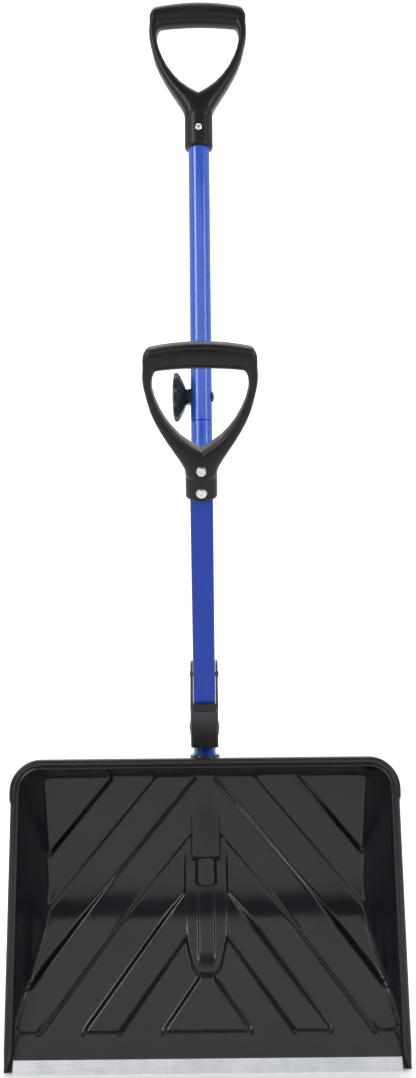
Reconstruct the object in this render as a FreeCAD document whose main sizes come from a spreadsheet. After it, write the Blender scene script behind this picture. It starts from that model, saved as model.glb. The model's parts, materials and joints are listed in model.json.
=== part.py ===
import FreeCAD, Part
import math
import os
import re
import Sketcher

V = FreeCAD.Vector

# Two-handled snow shovel with a sprung assist arm.
#
# Frame: +Z runs up along the main shaft, the open side of the blade and the assist arm face -Y,
# and the origin is in the middle of the blade's cutting edge, on the edge's flat underside.

doc = FreeCAD.newDocument("SnowShovel")

# --------------------------------------------------------------------------- driving dimensions

DIMENSIONS = [
    # blade, in millimetres and degrees
    ("blade_height", 343.0, "top rim above the cutting edge"),
    ("rim_setback", 12.5, "how far the top rim stands behind the cutting edge"),
    ("mouth_half", 226.5, "half width of the scoop's mouth at the cutting edge"),
    ("mouth_top", 345.4, "height of the scoop's mouth"),
    ("blade_wall", 3.0, "plastic wall"),
    ("side_draft", 26.0, "draft of the side walls"),
    ("top_draft", 23.0, "draft of the top wall"),
    ("corner_radius", 30.0, "top corners, outside"),
    ("ramp_angle", 27.0, "lower floor to the shaft line"),
    ("floor_radius", 120.0, "bend of the floor"),
    ("floor_top_y", 68.5, "depth of the floor at its top"),
    ("floor_top_z", 316.0, "height of the floor's top"),
    ("floor_rake", 6.56, "upper floor to the shaft line"),
    ("band_rise", 4.0, "raised chevron bands above the floor"),
    ("band_slope", 50.2, "chevron bands to the horizontal"),
    ("band_foot", 39.0, "height where the raised bands end"),
    ("flange_reach", 5.0, "rim flange outside the wall"),
    ("flange_depth", 9.0, "rim flange, front to back"),
    ("flange_foot", 297.0, "height where the rim flange ends"),
    ("socket_radius", 17.0, "shaft socket, outside"),
    ("socket_floor", 186.0, "foot of the shaft socket"),
    ("socket_mouth", 339.0, "mouth of the shaft socket"),
    # shaft
    ("shaft_y", 86.0, "shaft axis behind the cutting edge"),
    ("tube_radius", 13.5, "both tubes, outside"),
    ("tube_wall", 1.2, "both tubes"),
    ("shaft_foot", 196.0, "lower end of the shaft"),
    ("tube_joint", 750.7, "where the upper tube starts"),
    ("swage_length", 66.0, "necked end inside the upper tube"),
    ("shaft_top", 1146.0, "upper end of the shaft"),
    ("clamp_height", 781.0, "clamp bolt above the cutting edge"),
    ("clamp_bolt_radius", 4.0, "clamp bolt shank"),
    # D grips
    ("grip_length", 193.6, "socket end to the top of the bar"),
    ("grip_socket_radius", 18.1, "grip socket, outside"),
    ("grip_half_width", 62.7, "half width of the grip"),
    ("bar_depth", 25.0, "grip bar, front to back"),
    ("upper_grip_foot", 1100.2, "socket end of the upper grip"),
    # assist arm
    ("pivot_y", 57.0, "hinge pin in front of the shaft"),
    ("pivot_z", 376.0, "hinge pin above the cutting edge"),
    ("arm_angle", 25.0, "arm to the shaft at rest"),
    ("arm_width", 25.0, "arm tube, across"),
    ("arm_thickness", 15.0, "arm tube, front to back"),
    ("arm_wall", 1.8, "arm tube"),
    ("arm_length", 330.0, "pivot to the upper end of the arm tube"),
    ("arm_fork", 13.0, "length of the fork above the pivot"),
    ("assist_grip_foot", 289.5, "pivot to the socket end of the assist grip"),
    ("assist_grip_width", 0.97, "assist grip's width as a share of the upper grip's"),
    ("assist_grip_stretch", 0.945, "assist grip's length as a share of the upper grip's"),
    ("assist_grip_drop", 13.0, "how much shorter the assist grip's socket is"),
    # bracket
    ("bracket_width", 33.0, "bracket, across"),
    ("bracket_gauge", 2.6, "bracket plate"),
    ("stop_gap", 2.5, "room for the rubber stop, arm to bracket"),
    ("pivot_pin_radius", 4.0, "hinge pin"),
    ("rivet_radius", 2.5, "bracket rivets"),
]

sheet = doc.addObject("Spreadsheet::Sheet", "dims")
for row, (alias, value, meaning) in enumerate(DIMENSIONS, start=1):
    sheet.set(f"A{row}", alias)
    sheet.set(f"B{row}", str(value))
    sheet.setAlias(f"B{row}", alias)
    sheet.set(f"C{row}", meaning)
doc.recompute()


def dim(alias):
    """One driving dimension, read from the sheet."""
    return float(sheet.get(alias))


# heights on the centre line of the seven chevron lines, from the top down
CHEVRON_LINES = [448.0, 386.0, 327.0, 266.0, 207.0, 156.5, 98.5]

# --------------------------------------------------------------------------- building helpers


def bind(thing, **expressions):
    """Bind properties of a document object to sheet cells."""
    for name, expression in expressions.items():
        thing.setExpression(name, sheet_names(expression))
    return thing


def sheet_names(expression):
    """Put the sheet's name before every alias in an expression."""
    aliases = "|".join(alias for alias, _, _ in DIMENSIONS)
    return re.sub(rf"\b({aliases})\b", r"dims.\1", expression)


def value_of(expression):
    """The number that an expression in sheet aliases gives."""
    probe = doc.addObject("App::FeaturePython", "probe")
    probe.addProperty("App::PropertyFloat", "Result")
    bind(probe, Result=expression)
    doc.recompute()
    result = probe.Result
    doc.removeObject(probe.Name)
    return result


def feature(label, shape, placement=None):
    """A sub-part or tool whose shape comes from Part's own functions."""
    thing = doc.addObject("Part::Feature", label)
    thing.Shape = shape
    if placement is not None:
        thing.Placement = placement
    return thing


def cylinder(label, base, axis, radius, length):
    """A Part::Cylinder from base along axis, its size bound to the sheet."""
    rod = doc.addObject("Part::Cylinder", label)
    bind(rod, Radius=radius, Height=length)
    rod.Placement = FreeCAD.Placement(base, FreeCAD.Rotation(V(0, 0, 1), axis))
    return rod


def block(label, corner, length, width, height):
    """A Part::Box from its lowest corner, its size bound to the sheet."""
    box = doc.addObject("Part::Box", label)
    bind(box, Length=length, Width=width, Height=height)
    box.Placement = FreeCAD.Placement(corner, FreeCAD.Rotation())
    return box


def fuse(label, pieces):
    joined = doc.addObject("Part::MultiFuse", label)
    joined.Shapes = pieces
    joined.Refine = True
    return joined


def cut(label, base, tools):
    tool = tools[0] if len(tools) == 1 else fuse(label + "_tools", tools)
    rest = doc.addObject("Part::Cut", label)
    rest.Base = base
    rest.Tool = tool
    return rest


def compound(label, pieces):
    """Identical pieces as one node of separate solids."""
    group = doc.addObject("Part::Compound", label)
    group.Links = pieces
    return group


def origin_plane(body, role):
    for plane in body.Origin.OriginFeatures:
        if plane.Role == role:
            return plane
    raise ValueError(role)


def profile_sketch(body, name, role, corners):
    """A closed polygon on a body's origin plane, each corner bound to the sheet."""
    sketch = body.newObject("Sketcher::SketchObject", name)
    sketch.AttachmentSupport = [(origin_plane(body, role), "")]
    sketch.MapMode = "FlatFace"
    points = [V(value_of(across), value_of(up), 0) for across, up in corners]
    count = len(points)
    for index in range(count):
        sketch.addGeometry(Part.LineSegment(points[index], points[(index + 1) % count]), False)
    for index in range(count):
        sketch.addConstraint(Sketcher.Constraint("Coincident", index, 2, (index + 1) % count, 1))
    for index, (across, up) in enumerate(corners):
        bind_coordinate(sketch, index, "DistanceX", -2, points[index].x, across)
        bind_coordinate(sketch, index, "DistanceY", -1, points[index].y, up)
    return sketch


def bind_coordinate(sketch, index, kind, axis, value, expression):
    """Hold one coordinate of a corner: on the sketch's axis, or at a bound distance from it."""
    if abs(value) < 1e-9:
        sketch.addConstraint(Sketcher.Constraint("PointOnObject", index, 1, axis))
        return
    number = sketch.addConstraint(Sketcher.Constraint(kind, -1, 1, index, 1, value))
    sketch.setExpression(f"Constraints[{number}]", sheet_names(expression))


def padded_body(label, role, corners, length):
    """A PartDesign body: a profile padded to both sides of its origin plane."""
    body = doc.addObject("PartDesign::Body", label)
    sketch = profile_sketch(body, label + "_profile", role, corners)
    pad = body.newObject("PartDesign::Pad", label + "_pad")
    pad.Profile = sketch
    bind(pad, Length=length)
    pad.Midplane = True
    doc.recompute()
    return body


def turned_body(label, corners, placement=None):
    """A PartDesign body: a half profile in the XZ plane turned round its Z axis."""
    body = doc.addObject("PartDesign::Body", label)
    sketch = profile_sketch(body, label + "_profile", "XZ_Plane", corners)
    turn = body.newObject("PartDesign::Revolution", label + "_turn")
    turn.Profile = sketch
    turn.ReferenceAxis = (sketch, ["V_Axis"])
    turn.Angle = 360.0
    if placement is not None:
        body.Placement = placement
    doc.recompute()
    return body


def prism(points, direction):
    """A solid from a closed polygon and an extrusion vector."""
    closed = [V(*point) for point in points + [points[0]]]
    return Part.Face(Part.makePolygon(closed)).extrude(direction)


def at(x, y, z):
    return FreeCAD.Placement(V(x, y, z), FreeCAD.Rotation())


def pointing(x, y, z, axis):
    """A placement at a point whose local Z lies along axis."""
    return FreeCAD.Placement(V(x, y, z), FreeCAD.Rotation(V(0, 0, 1), axis))


def filleted(shape, radius, test):
    """Round the edges that pass a test, or give the shape back when none can be rounded."""
    edges = [edge for edge in shape.Edges if test(edge)]
    try:
        rounded = shape.makeFillet(radius, edges)
    except Part.OCCError:
        return shape
    return rounded if rounded.isValid() and rounded.Solids else shape


# --------------------------------------------------------------------------- blade

RAMP = math.radians(dim("ramp_angle"))
RAKE = math.radians(dim("floor_rake"))
SIDE_REACH = 260.0      # wider than the blade, for profiles that are trimmed later
FRONT_REACH = -40.0     # in front of the blade


def floor_line(offset):
    """The floor's centre section, offset towards its back: ramp, bend and upper floor."""
    radius = dim("floor_radius") + offset
    ramp_dir = V(0, math.sin(RAMP), math.cos(RAMP))
    upper_dir = V(0, -math.sin(RAKE), math.cos(RAKE))
    reach = dim("floor_top_y") + dim("floor_top_z") * math.tan(RAKE)
    knee_z = reach / (math.tan(RAMP) + math.tan(RAKE))
    knee = V(0, knee_z * math.tan(RAMP), knee_z)
    tangent = dim("floor_radius") * math.tan((RAMP + RAKE) / 2)
    start = knee - ramp_dir * tangent
    centre = start + V(0, -math.cos(RAMP), math.sin(RAMP)) * dim("floor_radius")
    lower = centre + V(0, math.cos(RAMP), -math.sin(RAMP)) * radius
    middle_angle = (RAKE - RAMP) / 2
    middle = centre + V(0, math.cos(middle_angle), math.sin(middle_angle)) * radius
    upper = centre + V(0, math.cos(RAKE), math.sin(RAKE)) * radius
    foot = lower - ramp_dir * ((lower.z + 30.0) / math.cos(RAMP))
    head = upper + upper_dir * ((400.0 - upper.z) / math.cos(RAKE))
    return [
        Part.LineSegment(foot, lower).toShape(),
        Part.Arc(lower, middle, upper).toShape(),
        Part.LineSegment(upper, head).toShape(),
    ], foot, head


def floor_solid(offset, half_width, front=None):
    """Everything in front of the offset floor, or the layer between two offset floors."""
    edges, foot, head = floor_line(offset)
    if front is None:
        near_foot = V(0, FRONT_REACH, foot.z)
        near_head = V(0, FRONT_REACH, head.z)
        closing = [
            Part.LineSegment(head, near_head).toShape(),
            Part.LineSegment(near_head, near_foot).toShape(),
            Part.LineSegment(near_foot, foot).toShape(),
        ]
    else:
        front_edges, front_foot, front_head = floor_line(front)
        closing = [Part.LineSegment(head, front_head).toShape()]
        closing += front_edges[::-1]
        closing.append(Part.LineSegment(front_foot, foot).toShape())
    wire = Part.Wire(Part.__sortEdges__(edges + closing))
    face = Part.Face(wire)
    face.translate(V(-half_width, 0, 0))
    return face.extrude(V(2 * half_width, 0, 0))


def mouth_wire(depth, offset, radius):
    """The scoop's outline at a depth, with rounded top corners; offset grows it outwards."""
    side = dim("mouth_half") + offset / math.cos(math.radians(dim("side_draft")))
    side -= depth * math.tan(math.radians(dim("side_draft")))
    top = dim("mouth_top") + offset / math.cos(math.radians(dim("top_draft")))
    top -= depth * math.tan(math.radians(dim("top_draft")))
    foot = -20.0
    bend = radius * math.cos(math.radians(45))
    left, right = -side, side
    edges = [
        Part.LineSegment(V(left, depth, foot), V(left, depth, top - radius)),
        Part.Arc(V(left, depth, top - radius),
                 V(left + radius - bend, depth, top - radius + bend), V(left + radius, depth, top)),
        Part.LineSegment(V(left + radius, depth, top), V(right - radius, depth, top)),
        Part.Arc(V(right - radius, depth, top),
                 V(right - radius + bend, depth, top - radius + bend), V(right, depth, top - radius)),
        Part.LineSegment(V(right, depth, top - radius), V(right, depth, foot)),
        Part.LineSegment(V(right, depth, foot), V(left, depth, foot)),
    ]
    return Part.Wire([edge.toShape() for edge in edges])


def mouth_solid(offset):
    """The tapered block inside the side and top walls."""
    near = mouth_wire(-10.0, offset, dim("corner_radius") - 3.0 + offset)
    far = mouth_wire(110.0, offset, dim("corner_radius") - 10.0 + offset)
    return Part.makeLoft([near, far], True, True)


def behind_rim():
    """The half space behind the rim, which leans back by the rim's setback."""
    lean = dim("rim_setback") / dim("blade_height")
    low, high = -30.0, 420.0
    return prism([(-SIDE_REACH, low * lean, low), (-SIDE_REACH, high * lean, high),
                  (-SIDE_REACH, 160.0, high), (-SIDE_REACH, 160.0, low)], V(2 * SIDE_REACH, 0, 0))


def chevron_band(upper, lower, foot):
    """The region between two chevron lines, as a prism along Y; lower=None goes down to the foot."""
    slope = math.tan(math.radians(dim("band_slope")))
    span = SIDE_REACH
    near, through = -20.0, V(0, 140.0, 0)
    if lower is None:
        half = (upper - foot) / slope
        return prism([(-half, near, foot), (0, near, upper), (half, near, foot)], through)
    points = [(-span, near, upper - span * slope), (0, near, upper), (span, near, upper - span * slope)]
    points += [(span, near, lower - span * slope), (0, near, lower), (-span, near, lower - span * slope)]
    return prism(points, through)


def tongue_outline(grow):
    """The raised tongue round the shaft socket, seen from the front."""
    half = [(12.0, 318.0), (18.0, 286.0), (24.0, 225.0), (27.0, 166.0), (25.0, 124.0), (19.0, 100.0),
            (9.0, 86.0)]
    right = [(x + grow, -20.0, z) for x, z in half]
    left = [(-x - grow, -20.0, z) for x, z in reversed(half)]
    return prism(right + left, V(0, 140.0, 0))


def make_blade():
    wall = dim("blade_wall")
    shaft_y = dim("shaft_y")
    inner = floor_solid(0.0, SIDE_REACH - 10).common(mouth_solid(0.0))
    outer = floor_solid(wall, SIDE_REACH).common(mouth_solid(wall)).common(behind_rim())
    shell = outer.cut(inner)

    # rim flange round the top and the upper sides, its front face flush with the rim
    lean = dim("rim_setback") / dim("blade_height")
    flange_front = dim("flange_foot") * lean
    grown = mouth_wire(flange_front, dim("flange_reach"), dim("corner_radius") + 2.0)
    ring = Part.Face(grown).extrude(V(0, dim("flange_depth") + 2.0, 0))
    ring = ring.cut(mouth_solid(wall / 2)).common(behind_rim())
    above = Part.makeBox(2 * SIDE_REACH, 200, 200, V(-SIDE_REACH, -60, dim("flange_foot")))
    shell = shell.fuse(ring.common(above))

    # raised chevron bands, trimmed to the floor between the walls
    layer = floor_solid(wall / 2, SIDE_REACH, front=-dim("band_rise")).common(mouth_solid(wall / 2))
    lines = CHEVRON_LINES
    foot_block = Part.makeBox(2 * SIDE_REACH, 200, 400, V(-SIDE_REACH, -60, dim("band_foot")))
    bands = [chevron_band(lines[0], lines[1], 0), chevron_band(lines[2], lines[3], 0),
             chevron_band(lines[4], lines[5], 0), chevron_band(lines[6], None, dim("band_foot") - 1)]
    top_block = Part.makeBox(2 * SIDE_REACH, 200, 400, V(-SIDE_REACH, -60, dim("floor_top_z") - 400))
    for band in bands:
        raised = layer.common(band).common(foot_block).common(top_block)
        shell = shell.fuse(raised)

    # tongue and half round front of the shaft socket
    tongue_layer = floor_solid(wall / 2, SIDE_REACH, front=-dim("band_rise") - 2.0)
    shell = shell.fuse(tongue_layer.common(tongue_outline(0.0)))
    socket = Part.makeCylinder(dim("socket_radius"), dim("socket_mouth") - dim("socket_floor"),
                               V(0, shaft_y, dim("socket_floor")))
    shell = shell.fuse(socket)

    # stiffening ribs on the back of the floor, and a web that joins the socket to it
    rib_layer = floor_solid(wall + RIB_RISE, SIDE_REACH, front=wall / 2)
    rib_walls = [Part.makeBox(2 * reach, 200, RIB_WIDTH, V(-reach, -20, height))
                 for height, reach in CROSS_RIBS]
    rib_walls += [Part.makeBox(RIB_WIDTH, 200, 236.0, V(x - RIB_WIDTH / 2, -20, 76.0))
                  for x in UPRIGHT_RIBS]
    rib_walls.append(Part.makeBox(WEB_WIDTH, 200, 110.0, V(-WEB_WIDTH / 2, -20, 80.0)))
    for rib in rib_walls:
        shell = shell.fuse(rib_layer.common(rib))

    # bore for the shaft, open at the top, and its screw holes through the back of the socket
    bore_radius = dim("tube_radius") + 0.05
    bore = Part.makeCylinder(bore_radius, dim("socket_mouth"), V(0, shaft_y, dim("shaft_foot")))
    shell = shell.cut(bore)
    for height in BLADE_SCREW_HEIGHTS:
        shell = shell.cut(Part.makeCylinder(2.4, 30.0, V(0, shaft_y, height), V(0, 1, 0)))

    # the lip rests in the wear strip: trimmed level above the strip's fold
    trim = Part.makeBox(2 * SIDE_REACH, 200, 60, V(-SIDE_REACH, -60, STRIP_FOLD - 60))
    shell = shell.cut(trim)
    for x in STRIP_RIVET_STATIONS:
        shell = shell.cut(strip_rivet_shank(x))
    largest = max(shell.Solids, key=lambda solid: solid.Volume)
    return largest.removeSplitter()


RIB_RISE = 9.0
RIB_WIDTH = 3.0
CROSS_RIBS = ((96.0, 120.0), (160.0, 150.0), (224.0, 150.0), (288.0, 150.0))    # height, half length
UPRIGHT_RIBS = (-62.0, 62.0)
WEB_WIDTH = 8.0
BLADE_SCREW_HEIGHTS = (232.0, 322.0)
STRIP_GAUGE = 1.2        # sheet thickness of the wear strip
STRIP_FOLD = 1.6         # its folded edge
STRIP_HALF = 218.0
STRIP_FRONT = 13.0       # height of its front leg
STRIP_BACK = 20.0        # height of its back leg
STRIP_RIVET_STATIONS = (-190.0, -95.0, 0.0, 95.0, 190.0)
STRIP_RIVET_HEIGHT = 14.0
STRIP_RIVET_RADIUS = 2.0
STRIP_RIVET_HEAD = 4.2


def strip_rivet_shank(x):
    """The shank of a blind rivet, square to the ramp, from the back leg into the lip."""
    normal = V(0, math.cos(RAMP), -math.sin(RAMP))
    on_floor = V(x, STRIP_RIVET_HEIGHT * math.tan(RAMP), STRIP_RIVET_HEIGHT)
    skin_left = 0.9
    length = dim("blade_wall") + STRIP_GAUGE - skin_left + 0.2
    return Part.makeCylinder(STRIP_RIVET_RADIUS, length, on_floor + normal * skin_left, normal)


def strip_rivet(x):
    """The whole rivet: shank and low head on the back leg."""
    normal = V(0, math.cos(RAMP), -math.sin(RAMP))
    on_floor = V(x, STRIP_RIVET_HEIGHT * math.tan(RAMP), STRIP_RIVET_HEIGHT)
    under_head = on_floor + normal * (dim("blade_wall") + STRIP_GAUGE)
    head = Part.makeCone(STRIP_RIVET_HEAD, STRIP_RIVET_HEAD * 0.6, 1.3, under_head, normal)
    return strip_rivet_shank(x).fuse(head)


blade = feature("blade", make_blade())


def strip_section():
    """Corners of the folded steel strip over the lip, its underside cut level: depth, height."""
    gauge = STRIP_GAUGE / math.cos(RAMP)
    skin = dim("blade_wall") / math.cos(RAMP)
    lean = math.tan(RAMP)
    return [(-gauge, 0.0), (skin + gauge, 0.0),
            (skin + gauge + STRIP_BACK * lean, STRIP_BACK), (skin + STRIP_BACK * lean, STRIP_BACK),
            (skin + STRIP_FOLD * lean, STRIP_FOLD), (STRIP_FOLD * lean, STRIP_FOLD),
            (STRIP_FRONT * lean, STRIP_FRONT), (STRIP_FRONT * lean - gauge, STRIP_FRONT)]


strip_corners = [(f"{y:.4f}", f"{z:.4f}") for y, z in strip_section()]
strip_body = padded_body("wear_strip_folded", "YZ_Plane", strip_corners, str(2 * STRIP_HALF))
strip_holes = [feature(f"strip_hole_{index}", strip_rivet_shank(x))
               for index, x in enumerate(STRIP_RIVET_STATIONS)]
wear_strip = cut("wear_strip", strip_body, strip_holes)

strip_rivets = compound("wear_strip_rivets", [
    feature(f"strip_rivet_{index}", strip_rivet(x))
    for index, x in enumerate(STRIP_RIVET_STATIONS)])

# --------------------------------------------------------------------------- shaft

SHAFT_Y = dim("shaft_y")
CLAMP_Z = dim("clamp_height")
BRACKET_RIVET_HEIGHTS = (366.0, 436.0)

lower_tube = turned_body("lower_tube", [
    ("tube_radius - tube_wall", "shaft_foot"),
    ("tube_radius", "shaft_foot"),
    ("tube_radius", "tube_joint - 1.2"),
    ("tube_radius - tube_wall - 0.1", "tube_joint"),
    ("tube_radius - tube_wall - 0.1", "tube_joint + swage_length"),
    ("tube_radius - 2 * tube_wall - 0.1", "tube_joint + swage_length"),
    ("tube_radius - 2 * tube_wall - 0.1", "tube_joint - 1.2"),
    ("tube_radius - tube_wall", "tube_joint - 4"),
], at(0, SHAFT_Y, 0))
lower_shaft_holes = [
    cylinder(f"bracket_rivet_hole_{index}", V(-20, SHAFT_Y, height), V(1, 0, 0), "rivet_radius", "40")
    for index, height in enumerate(BRACKET_RIVET_HEIGHTS)]
lower_shaft_holes += [cylinder(f"screw_hole_{index}", V(0, SHAFT_Y, height), V(0, 1, 0), "1.9", "20")
                      for index, height in enumerate(BLADE_SCREW_HEIGHTS)]
lower_shaft_holes.append(cylinder("lower_clamp_hole", V(-20, SHAFT_Y, CLAMP_Z), V(1, 0, 0),
                                  "clamp_bolt_radius + 0.1", "40"))
lower_shaft = cut("lower_shaft", lower_tube, lower_shaft_holes)

upper_tube = turned_body("upper_tube", [
    ("tube_radius - tube_wall", "tube_joint"),
    ("tube_radius", "tube_joint"),
    ("tube_radius", "shaft_top"),
    ("tube_radius - tube_wall", "shaft_top"),
], at(0, SHAFT_Y, 0))
GRIP_RIVET_RISE = 21.6      # above the socket end of a grip
UPPER_GRIP_Z = dim("upper_grip_foot")
upper_shaft = cut("upper_shaft", upper_tube, [
    cylinder("upper_clamp_hole", V(-20, SHAFT_Y, CLAMP_Z), V(1, 0, 0), "clamp_bolt_radius + 0.1", "40"),
    cylinder("grip_rivet_hole", V(0, SHAFT_Y - 20, UPPER_GRIP_Z + GRIP_RIVET_RISE), V(0, 1, 0),
             "2.4", "40"),
])

blade_screws = compound("blade_screws", [
    turned_body(f"blade_screw_{index}", [
        ("0", "-8.5"), ("1.9", "-6.5"), ("1.9", "4"), ("5", "4"), ("4.4", "6.2"), ("2.4", "7"), ("0", "7")],
        pointing(0, SHAFT_Y + dim("socket_radius") - 4.0, height, V(0, 1, 0)))
    for index, height in enumerate(BLADE_SCREW_HEIGHTS)])

# --------------------------------------------------------------------------- clamp

clamp_bolt = turned_body("clamp_bolt", [
    ("0", "-31"), ("clamp_bolt_radius - 0.6", "-31"), ("clamp_bolt_radius", "-30.4"),
    ("clamp_bolt_radius", "tube_radius"), ("7", "tube_radius"), ("6.2", "tube_radius + 1.3"),
    ("3.4", "tube_radius + 2.4"), ("0", "tube_radius + 2.7"),
], pointing(0, SHAFT_Y, CLAMP_Z, V(1, 0, 0)))

KNOB_FACE = dim("tube_radius") + 3.4    # the knob's inner face, from the shaft axis
saddle_block = block("saddle_block", V(-KNOB_FACE + 0.1, SHAFT_Y - 8, CLAMP_Z - 9), "8", "16", "18")
clamp_saddle = cut("clamp_saddle", saddle_block, [
    cylinder("saddle_seat", V(0, SHAFT_Y, CLAMP_Z - 20), V(0, 0, 1), "tube_radius", "40"),
    cylinder("saddle_hole", V(-30, SHAFT_Y, CLAMP_Z), V(1, 0, 0), "clamp_bolt_radius + 0.2", "30"),
])

KNOB_LOBES = 7


def make_knob():
    """Lobed clamp knob: hub, conical back, rim and a gently domed face, turned about local Z."""
    outline = [(0, 0), (10, 0), (10.5, 1.8), (17, 4.5), (24, 7.9), (29, 10.9), (31, 13), (31, 15.5),
               (29, 17.2), (20, 18.6), (10, 19.3), (0, 19.5)]
    face = Part.Face(Part.makePolygon([V(r, 0, z) for r, z in outline] + [V(0, 0, 0)]))
    knob = face.revolve(V(0, 0, 0), V(0, 0, 1), 360)
    for lobe in range(KNOB_LOBES):
        angle = 2 * math.pi * (lobe + 0.5) / KNOB_LOBES
        centre = V(37.5 * math.cos(angle), 37.5 * math.sin(angle), 7.5)
        knob = knob.cut(Part.makeCylinder(9.5, 14, centre))
    seat = Part.makeCylinder(6.5, 13.0, V(0, 0, 0))
    bore = Part.makeCylinder(dim("clamp_bolt_radius") + 0.6, 16.0, V(0, 0, 0))
    return knob.cut(seat).cut(bore)


knob_place = pointing(-KNOB_FACE, SHAFT_Y, CLAMP_Z, V(-1, 0, 0))
clamp_knob = feature("clamp_knob", make_knob(), knob_place)

knob_insert = turned_body("knob_insert", [
    ("clamp_bolt_radius + 0.05", "0.2"), ("6.5", "0.2"), ("6.5", "5"), ("6.1", "5.6"), ("6.1", "7"),
    ("6.5", "7.6"), ("6.5", "13"), ("clamp_bolt_radius + 0.05", "13"),
], knob_place)

# --------------------------------------------------------------------------- D grips


def smooth_wire(points, y):
    """A closed wire at depth y through mirrored points: curves on each side, straight across."""
    right = [V(x, y, z) for x, z in points]
    left = [V(-x, y, z) for x, z in points]
    curves = []
    for side in (right, left):
        spline = Part.BSplineCurve()
        spline.interpolate(side)
        curves.append(spline.toShape())
    edges = [curves[0], Part.LineSegment(right[-1], left[-1]).toShape(), curves[1]]
    if right[0].x > 1e-6:
        edges.append(Part.LineSegment(left[0], right[0]).toShape())
    return Part.Wire(Part.__sortEdges__(edges))


def make_grip(bore, across=1.0, stretch=1.0, drop=0.0):
    """D grip about its own socket axis, socket end at the origin, facing -Y; bore is cut out.

    The shape is scaled across and stretched lengthwise, then its socket is shortened by drop.
    """
    def scaled(points):
        return [(x * across, z * stretch - drop) for x, z in points]

    length = dim("grip_length") * stretch - drop
    half = dim("grip_half_width")
    socket_r = dim("grip_socket_radius")
    depth = dim("bar_depth") / 2
    deepest = 2 * socket_r
    # outside, from the foot of the legs up to the top corner
    outside = [(17.2, 47.0), (21.5, 54.5), (31.4, 70.2), (44.5, 91.4), (54.1, 112.6), (59.5, 134.0),
               (half - 0.4, 148.0), (half, 158.0)]
    top = [(half, 158.0), (half - 0.6, 168.0), (half - 2.0, 177.0), (half - 3.8, 183.5),
           (half - 6.8, 187.6), (48.0, 190.2), (30.0, 192.7), (10.0, dim("grip_length"))]
    window = [(5.0, 71.5), (12.5, 76.5), (22.5, 85.0), (31.7, 96.0), (39.2, 107.0), (44.9, 118.6),
              (49.3, 131.0), (51.7, 141.0), (52.0, 148.0)]
    window_top = [(-52.0, 147.9), (52.0, 147.9), (51.2, 154.5), (47.0, 159.8), (30.0, 162.4),
                  (10.0, 163.6), (-10.0, 163.6), (-30.0, 162.4), (-47.0, 159.8), (-51.2, 154.5)]
    legs = Part.Face(smooth_wire(scaled(outside), -socket_r)).extrude(V(0, deepest, 0))
    head = Part.Face(smooth_wire(scaled(top), -socket_r)).extrude(V(0, deepest, 0))
    hole_low = Part.Face(smooth_wire(scaled(window), -deepest)).extrude(V(0, 2 * deepest, 0))
    hole_top = prism([(x, -deepest, z) for x, z in scaled(window_top)], V(0, 2 * deepest, 0))
    solid = legs.fuse(head).cut(hole_low.fuse(hole_top))

    # side section: slim legs and bar, swelling into the socket
    face = socket_r - 1.0
    side = [(face, 30.0), (face, 60.0), (13.0, 92.0), (11.5, 125.0), (12.0, 150.0), (depth, 166.0),
            (depth, 184.0), (depth - 2.5, 190.0), (5.0, dim("grip_length") + 1.0)]
    front = [(-y, z * stretch - drop) for y, z in side]
    back = [(y, z * stretch - drop) for y, z in reversed(side)]
    section = prism([(-90.0, y, z) for y, z in front + back], V(180.0, 0, 0))
    solid = solid.common(section)
    collar = 46.0 * stretch - drop
    socket = Part.makeCylinder(socket_r, collar)
    shoulder = Part.makeCone(socket_r, socket_r - 7.5, 22.0, V(0, 0, collar))
    solid = solid.fuse(socket).fuse(shoulder)
    solid = filleted(solid, 1.5, lambda edge: edge.BoundBox.ZMax < 0.1)
    return solid.cut(bore).removeSplitter()


RIVET_SEAT = dim("grip_socket_radius") - 0.5
round_bore = Part.makeCylinder(dim("tube_radius"), dim("shaft_top") - UPPER_GRIP_Z)
rivet_bore = Part.makeCylinder(2.4, 60.0, V(0, -30, GRIP_RIVET_RISE), V(0, 1, 0))
front_seat = Part.makeCylinder(4.2, 3.0, V(0, -RIVET_SEAT, GRIP_RIVET_RISE), V(0, -1, 0))
back_seat = Part.makeCylinder(4.2, 3.0, V(0, RIVET_SEAT, GRIP_RIVET_RISE), V(0, 1, 0))
upper_grip = feature("upper_grip", make_grip(round_bore.fuse([rivet_bore, front_seat, back_seat])),
                     at(0, SHAFT_Y, UPPER_GRIP_Z))

upper_grip_rivet = turned_body("upper_grip_rivet", [
    ("0", "-grip_socket_radius - 1.2"), ("2.6", "-grip_socket_radius - 1.1"),
    ("4", "-grip_socket_radius - 0.2"), ("4", "-grip_socket_radius + 0.5"),
    ("2.4", "-grip_socket_radius + 0.5"), ("2.4", "grip_socket_radius - 0.5"),
    ("4", "grip_socket_radius - 0.5"), ("4", "grip_socket_radius + 0.2"),
    ("2.6", "grip_socket_radius + 1.1"), ("0", "grip_socket_radius + 1.2"),
], pointing(0, SHAFT_Y, UPPER_GRIP_Z + GRIP_RIVET_RISE, V(0, 1, 0)))

# --------------------------------------------------------------------------- hinge bracket

PIVOT = V(0, dim("pivot_y"), dim("pivot_z"))
ARM_ANGLE = dim("arm_angle")
ARM_PLACE = FreeCAD.Placement(PIVOT, FreeCAD.Rotation(V(1, 0, 0), ARM_ANGLE))
PANEL_IN = dim("arm_thickness") / 2 + dim("stop_gap")
PANEL_OUT = PANEL_IN + dim("bracket_gauge")


def arm_point(across, depth, along):
    """A point given in the arm's own frame: x, behind the arm's axis, up the arm."""
    return ARM_PLACE.multVec(V(across, depth, along))


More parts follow.
